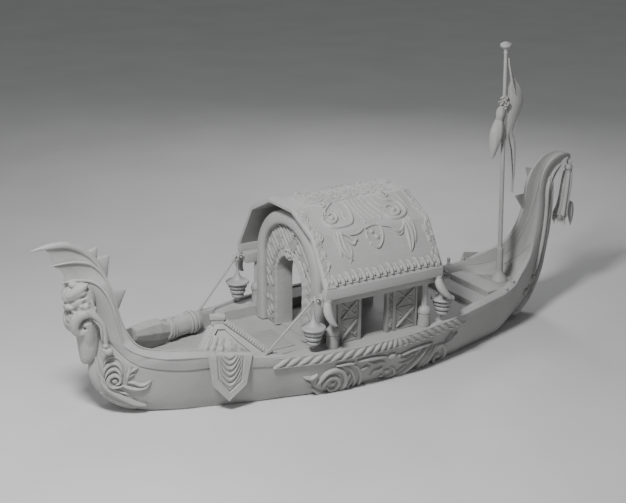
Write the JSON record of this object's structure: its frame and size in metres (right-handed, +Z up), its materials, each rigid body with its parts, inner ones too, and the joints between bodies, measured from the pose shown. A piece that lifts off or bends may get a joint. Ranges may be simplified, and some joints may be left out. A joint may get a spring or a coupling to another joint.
{
  "type": "dragon boat",
  "caption": "Wooden dragon boat with a bat-wing bow, carved mask, arched cabin on posts, swinging lanterns, upswept stern and a flag mast.",
  "frame": {"origin": "on the centreline at the waterline, below the middle of the cabin", "axes": "+X to the bow, +Y to port, +Z up"},
  "size_m": [12.89, 3.7208, 6.4976],
  "materials": {
    "painted_wood": "matte grey primer over planed timber",
    "carved_wood": "matte grey primer over carved timber",
    "lattice_wood": "matte grey paint over slats",
    "painted_metal": "matte grey paint",
    "rope": "laid fibre rope",
    "cloth": "matte woven cloth"
  },
  "bodies": {
    "boat": {"banner": "cloth", "bolster_roll": "cloth", "bracket_aft_port": "painted_wood", "bracket_aft_starboard": "painted_wood", "bracket_fore_port": "painted_wood", "bracket_fore_starboard": "painted_wood", "bulwark_port": "painted_wood", "bulwark_starboard": "painted_wood", "cabin_post_aft_port": "painted_wood", "cabin_post_aft_starboard": "painted_wood", "cabin_post_fore_port": "painted_wood", "cabin_post_fore_starboard": "painted_wood", "dragon_mask": "carved_wood", "drape_frame": "painted_wood", "eave_beam_port": "painted_wood", "eave_beam_starboard": "painted_wood", "flag": "cloth", "flag_knot": "rope", "flag_tassel": "cloth", "forefoot_carving_port": "carved_wood", "forefoot_carving_starboard": "carved_wood", "front_wall": "painted_wood", "hull": "painted_wood", "mast": "painted_wood", "midship_carving_port": "carved_wood", "midship_carving_starboard": "carved_wood", "rear_wall": "painted_wood", "roof_crown": "painted_wood", "roof_fascia_port": "painted_wood", "roof_fascia_starboard": "painted_wood", "roof_lower_port": "painted_wood", "roof_lower_starboard": "painted_wood", "roof_upper_port": "painted_wood", "roof_upper_starboard": "painted_wood", "rope_moulding_port": "carved_wood", "rope_moulding_starboard": "carved_wood", "side_screen_port": "lattice_wood", "side_screen_starboard": "lattice_wood", "stay_port": "rope", "stay_starboard": "rope", "stem_fan": "carved_wood", "stern_deck": "painted_wood", "stern_feathers_port": "carved_wood", "stern_feathers_starboard": "carved_wood", "stern_spoon": "carved_wood", "stern_tassel": "cloth", "tassel_blade": "carved_wood", "thwart": "painted_wood", "tusk_aft_port": "carved_wood", "tusk_aft_starboard": "carved_wood", "tusk_fore_port": "carved_wood", "tusk_fore_starboard": "carved_wood", "whisker_port": "carved_wood", "whisker_starboard": "carved_wood"},
    "lantern_body_fore_port": {"lantern_fore_port": "painted_metal"},
    "lantern_body_fore_starboard": {"lantern_fore_starboard": "painted_metal"},
    "lantern_body_aft_port": {"lantern_aft_port": "painted_metal"},
    "lantern_body_aft_starboard": {"lantern_aft_starboard": "painted_metal"}
  },
  "joints": [
    {"name": "lantern_swing_fore_port", "type": "hinge", "parent": "boat", "child": "lantern_body_fore_port", "pos_m": [1.555, 1.484, 1.93], "axis": [1, 0, 0], "range_deg": [-15, 15]},
    {"name": "lantern_swing_fore_starboard", "type": "hinge", "parent": "boat", "child": "lantern_body_fore_starboard", "pos_m": [1.555, -1.484, 1.93], "axis": [1, 0, 0], "range_deg": [-15, 15]},
    {"name": "lantern_swing_aft_port", "type": "hinge", "parent": "boat", "child": "lantern_body_aft_port", "pos_m": [-1.531, 1.484, 1.93], "axis": [0, 1, 0], "range_deg": [-8, 20]},
    {"name": "lantern_swing_aft_starboard", "type": "hinge", "parent": "boat", "child": "lantern_body_aft_starboard", "pos_m": [-1.531, -1.484, 1.93], "axis": [0, 1, 0], "range_deg": [-8, 20]}
  ]
}
